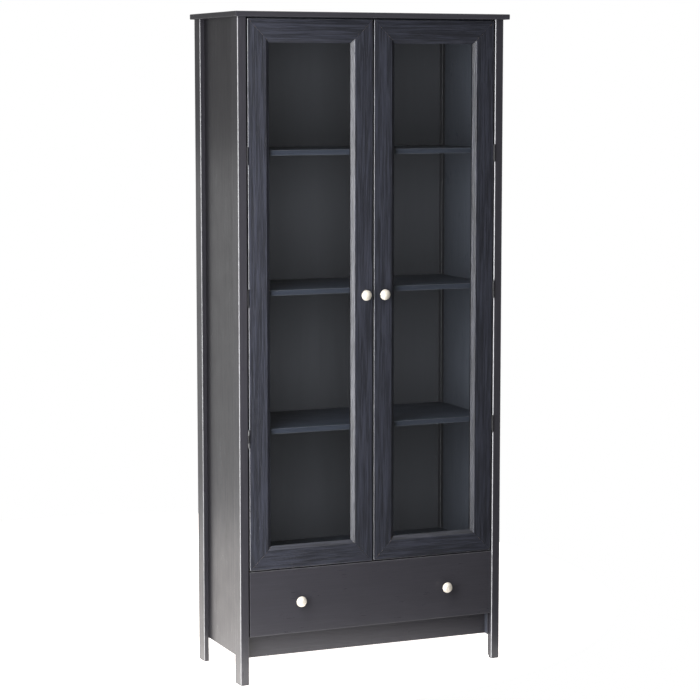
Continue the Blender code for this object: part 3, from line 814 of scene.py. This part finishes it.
def area_light(name, place, target, size, radiance):
    """A soft box at a place, turned to a target, with the radiance of its face."""
    light = bpy.data.lights.new(name, "AREA")
    light.shape = "RECTANGLE"
    light.size, light.size_y = size
    light.energy = radiance * math.pi * size[0] * size[1]
    made = bpy.data.objects.new(name, light)
    bpy.context.scene.collection.objects.link(made)
    made.location = place
    made.rotation_euler = (Vector(target) - Vector(place)).to_track_quat("-Z", "Y").to_euler()
    made.visible_camera = False
    return made


def link_light(light, pieces, state):
    """Lets a light reach only some pieces (INCLUDE), or all but them (EXCLUDE)."""
    receivers = bpy.data.collections.new(f"{light.name}_receivers")
    for piece in pieces:
        receivers.objects.link(piece)
    for entry in receivers.collection_objects:
        entry.light_linking.link_state = state
    light.light_linking.receiver_collection = receivers


def nodes_named(*names):
    """The CAD nodes with these names."""
    return [frame["nodes"][name] for name in names]


def pieces_in(*finishes):
    """The pieces whose material's name starts with one of these words."""
    return [
        piece for piece in bpy.data.objects
        if piece.type == "MESH" and piece.data.materials[0].name.startswith(finishes)
    ]


def make_lights():
    """Soft boxes for the front and the sides, a reflector behind, and a wide light above."""
    left = nodes_named("rear_left_leg", "front_left_leg", "top_board")
    left_panel = nodes_named("left_side_panel")
    right = nodes_named("right_side_panel", "rear_right_leg", "front_right_leg")
    glass = nodes_named("left_door_glass", "right_door_glass")
    backs = nodes_named("lower_back_panel", "upper_back_panel")
    metals = pieces_in("satin_nickel", "zinc_steel", "shaded_hinge", "lit_hinge")
    front_left = {
        "place": (-1.12, -1.02, 1.15), "target": (-0.12, -0.97, 1.08), "size": (1.1, 2.2)
    }

    key = area_light("key_soft_box", **front_left, radiance=20.8)
    key.visible_glossy = False
    link_light(key, glass + left + left_panel, "EXCLUDE")
    sparkle = area_light("metal_soft_box", **front_left, radiance=17.5)
    link_light(sparkle, metals, "INCLUDE")
    strip = area_light(
        "frame_soft_box", place=(-1.12, -0.69, 1.15), target=(-0.12, -0.28, 1.08),
        size=(0.42, 2.2), radiance=21.0,
    )
    strip.visible_diffuse = False
    link_light(strip, pieces_in("door_foil"), "INCLUDE")
    kicker = area_light(
        "leg_soft_box", place=(-0.75, -1.90, 1.15), target=(-0.40, FRONT_Y, 1.08),
        size=(1.0, 2.2), radiance=18.5,
    )
    kicker.visible_glossy = False
    link_light(kicker, left + backs, "INCLUDE")
    fill = area_light(
        "side_soft_box", place=(-2.60, -0.90, 1.20), target=(-0.41, -0.60, 1.10),
        size=(3.2, 2.6), radiance=1.2,
    )
    link_light(fill, left + left_panel, "INCLUDE")
    far_fill = area_light(
        "far_side_soft_box", place=(2.60, 0.90, 1.20), target=(0.41, 0.60, 1.10),
        size=(3.2, 2.6), radiance=1.0,
    )
    link_light(far_fill, right, "INCLUDE")
    area_light(
        "side_reflector", place=(-1.10, 1.50, 0.72), target=(-0.40, 0.0, 0.80),
        size=(1.0, 1.45), radiance=0.60,
    )

    sun = bpy.data.lights.new("ceiling_light", "SUN")
    sun.energy = 2.1
    sun.angle = math.radians(110)
    made = bpy.data.objects.new("ceiling_light", sun)
    bpy.context.scene.collection.objects.link(made)
    made.rotation_euler = (math.radians(8), math.radians(-6), 0)


def make_camera():
    """A long lens from the front left, a little above the cabinet's middle."""
    data = bpy.data.cameras.new("camera")
    data.sensor_width = SENSOR_WIDTH
    data.lens = FOCAL_LENGTH
    data.clip_end = 200.0
    camera = bpy.data.objects.new("camera", data)
    bpy.context.scene.collection.objects.link(camera)
    camera.location = CAMERA_PLACE
    ahead = Vector((
        -math.sin(CAMERA_YAW) * math.cos(CAMERA_PITCH),
        math.cos(CAMERA_YAW) * math.cos(CAMERA_PITCH),
        math.sin(CAMERA_PITCH),
    ))
    camera.rotation_euler = ahead.to_track_quat("-Z", "Y").to_euler()
    bpy.context.scene.camera = camera


materials = make_materials()
dress(materials)
make_knobs(materials)
make_shelf_pins(materials)
make_back_beads(materials)
make_hinge_screws(materials)
make_runner_screws(materials)
make_back_nails(materials)
make_cam_locks(materials)
make_catch_parts(materials)
make_floor()
make_world()
make_lights()
make_camera()
bpy.context.scene.view_settings.view_transform = "Standard"
